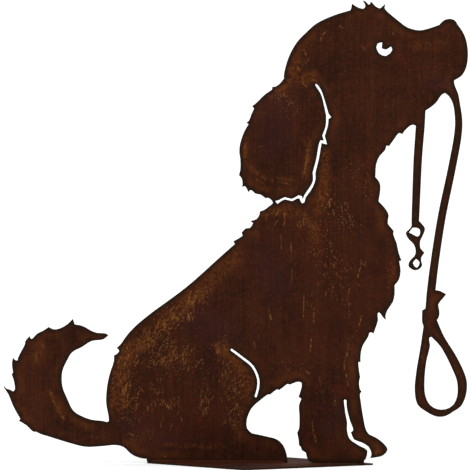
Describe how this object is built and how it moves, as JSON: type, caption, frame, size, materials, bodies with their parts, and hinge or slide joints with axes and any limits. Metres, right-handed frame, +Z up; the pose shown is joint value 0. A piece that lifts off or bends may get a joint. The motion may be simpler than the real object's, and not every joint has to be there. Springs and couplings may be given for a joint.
{
  "type": "sheet steel dog sculpture",
  "caption": "Seated shaggy dog silhouette cut from one rusted steel sheet, holding its own leash in its mouth, standing on edge on a square steel foot plate.",
  "frame": {"origin": "centre of the foot plate's underside", "axes": "+Z up, +X the way the dog looks, +Y from the seen face of the sheet to its back"},
  "size_m": [0.506, 0.246, 0.5015],
  "materials": {
    "rusted_sheet": "rough dark brown rust with ochre blooms and darker cut edges",
    "rusted_plate": "rough reddish brown rust",
    "weld_metal": "rough rusted weld"
  },
  "bodies": {
    "root": {"dog_silhouette": "rusted_sheet", "base_plate": "rusted_plate", "weld_bead_haunch": "weld_metal"}
  },
  "joints": []
}
